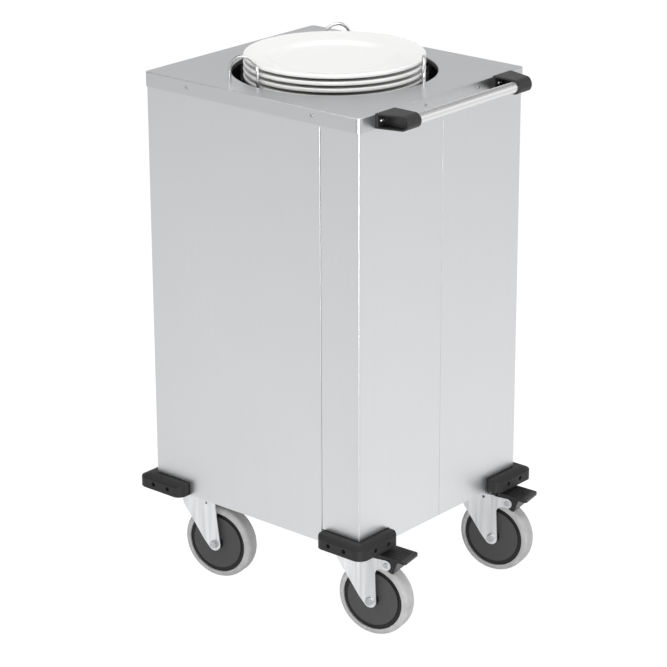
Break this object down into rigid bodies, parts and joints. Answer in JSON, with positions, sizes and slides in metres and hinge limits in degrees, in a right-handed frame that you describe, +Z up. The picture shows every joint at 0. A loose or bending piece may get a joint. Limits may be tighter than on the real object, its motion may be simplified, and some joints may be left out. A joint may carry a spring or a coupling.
{
  "type": "plate dispenser cart",
  "caption": "Enclosed steel cart on swivel casters with a sprung, self-levelling plate carrier, wire plate guides, a push handle and corner bumpers.",
  "frame": {"origin": "centre of the object's outline at floor level, under the wheels", "axes": "+Z up, +X towards the push handle, the standing cart's left side faces -Y"},
  "size_m": [0.5764, 0.496, 0.996],
  "materials": {
    "brushed_sheet": "fine brushed stainless steel sheet",
    "polished_wire": "polished bright wire",
    "polished_tube": "polished stainless tube",
    "inner_steel": "plain mill-finish steel",
    "screw_steel": "bright screws",
    "zinc": "bright zinc-plated pressed steel",
    "bracket_black": "black textured plastic",
    "bumper_black": "black textured rubber",
    "pedal_black": "black moulded plastic",
    "porcelain": "white glazed porcelain",
    "tyre_grey": "light grey non-marking tread",
    "core_black": "black moulded wheel core",
    "guard_grey": "dark grey plastic thread guard",
    "bush_white": "white sliding bush",
    "spring_steel": "spring wire"
  },
  "bodies": {
    "cart": {"top_cover": "brushed_sheet", "wrap_panel": "brushed_sheet", "corner_panel_left": "brushed_sheet", "corner_panel_right": "brushed_sheet", "base_pan": "inner_steel", "crossmember_handle": "inner_steel", "crossmember_back": "inner_steel", "lower_guide_plate": "inner_steel", "support_frame": "inner_steel", "bumper_handle_left": "bumper_black", "bumper_handle_right": "bumper_black", "bumper_back_left": "bumper_black", "bumper_back_right": "bumper_black", "bumper_screws": "screw_steel", "cover_screws": "screw_steel", "handle_screws": "screw_steel", "caster_bolts": "screw_steel", "handle_bracket_left": "bracket_black", "handle_bracket_right": "bracket_black", "handle_tube": "polished_tube", "guide_loop_left": "polished_wire", "guide_loop_handle": "polished_wire", "guide_loop_back": "polished_wire", "caster_kingpins": "zinc", "caster_handle_left_plate": "zinc", "caster_handle_right_plate": "zinc", "caster_back_left_plate": "zinc", "caster_back_right_plate": "zinc"},
    "carrier": {"stack_platform": "inner_steel", "carrier_spider": "inner_steel", "carrier_bushes": "bush_white", "carrier_springs": "spring_steel"},
    "plate_stack": {"plate_1": "porcelain", "plate_2": "porcelain", "plate_3": "porcelain", "plate_4": "porcelain"},
    "swivel_handle_left": {"caster_handle_left_fork": "zinc", "caster_handle_left_axle_bolt": "zinc", "caster_handle_left_pedal_pin": "zinc"},
    "wheel_handle_left": {"caster_handle_left_tyre": "tyre_grey", "caster_handle_left_core": "core_black", "caster_handle_left_guards": "guard_grey"},
    "brake_handle_left": {"caster_handle_left_pedal": "pedal_black"},
    "swivel_handle_right": {"caster_handle_right_fork": "zinc", "caster_handle_right_axle_bolt": "zinc", "caster_handle_right_pedal_pin": "zinc"},
    "wheel_handle_right": {"caster_handle_right_tyre": "tyre_grey", "caster_handle_right_core": "core_black", "caster_handle_right_guards": "guard_grey"},
    "brake_handle_right": {"caster_handle_right_pedal": "pedal_black"},
    "swivel_back_left": {"caster_back_left_fork": "zinc", "caster_back_left_axle_bolt": "zinc"},
    "wheel_back_left": {"caster_back_left_tyre": "tyre_grey", "caster_back_left_core": "core_black", "caster_back_left_guards": "guard_grey"},
    "swivel_back_right": {"caster_back_right_fork": "zinc", "caster_back_right_axle_bolt": "zinc"},
    "wheel_back_right": {"caster_back_right_tyre": "tyre_grey", "caster_back_right_core": "core_black", "caster_back_right_guards": "guard_grey"}
  },
  "joints": [
    {"name": "carrier_lift", "type": "slide", "parent": "cart", "child": "carrier", "axis": [0, 0, 1], "range_m": [-0.54, 0], "stiffness_N_per_m": 1100, "springref_m": 0.085, "deforming": ["carrier_springs"]},
    {"name": "plates_lift_off", "type": "slide", "parent": "carrier", "child": "plate_stack", "axis": [0, 0, 1], "range_m": [0, 0.25]},
    {"name": "swivel_handle_left", "type": "hinge", "parent": "cart", "child": "swivel_handle_left", "pos_m": [0.17878, -0.1745, 0.157], "axis": [0, 0, 1], "continuous": true},
    {"name": "roll_handle_left", "type": "hinge", "parent": "swivel_handle_left", "child": "wheel_handle_left", "pos_m": [0.21608, -0.16725, 0.069], "axis": [-0.1908, 0.9816, 0], "continuous": true},
    {"name": "brake_handle_left", "type": "hinge", "parent": "swivel_handle_left", "child": "brake_handle_left", "pos_m": [0.24701, -0.16124, 0.144], "axis": [-0.1908, 0.9816, 0], "range_deg": [0, 8]},
    {"name": "swivel_handle_right", "type": "hinge", "parent": "cart", "child": "swivel_handle_right", "pos_m": [0.17878, 0.1745, 0.157], "axis": [0, 0, 1], "continuous": true},
    {"name": "roll_handle_right", "type": "hinge", "parent": "swivel_handle_right", "child": "wheel_handle_right", "pos_m": [0.21608, 0.18175, 0.069], "axis": [-0.1908, 0.9816, 0], "continuous": true},
    {"name": "brake_handle_right", "type": "hinge", "parent": "swivel_handle_right", "child": "brake_handle_right", "pos_m": [0.24701, 0.18776, 0.144], "axis": [-0.1908, 0.9816, 0], "range_deg": [0, 8]},
    {"name": "swivel_back_left", "type": "hinge", "parent": "cart", "child": "swivel_back_left", "pos_m": [-0.19222, -0.1745, 0.157], "axis": [0, 0, 1], "continuous": true},
    {"name": "roll_back_left", "type": "hinge", "parent": "swivel_back_left", "child": "wheel_back_left", "pos_m": [-0.15491, -0.16725, 0.069], "axis": [-0.1908, 0.9816, 0], "continuous": true},
    {"name": "swivel_back_right", "type": "hinge", "parent": "cart", "child": "swivel_back_right", "pos_m": [-0.19222, 0.1745, 0.157], "axis": [0, 0, 1], "continuous": true},
    {"name": "roll_back_right", "type": "hinge", "parent": "swivel_back_right", "child": "wheel_back_right", "pos_m": [-0.15491, 0.18175, 0.069], "axis": [-0.1908, 0.9816, 0], "continuous": true}
  ]
}
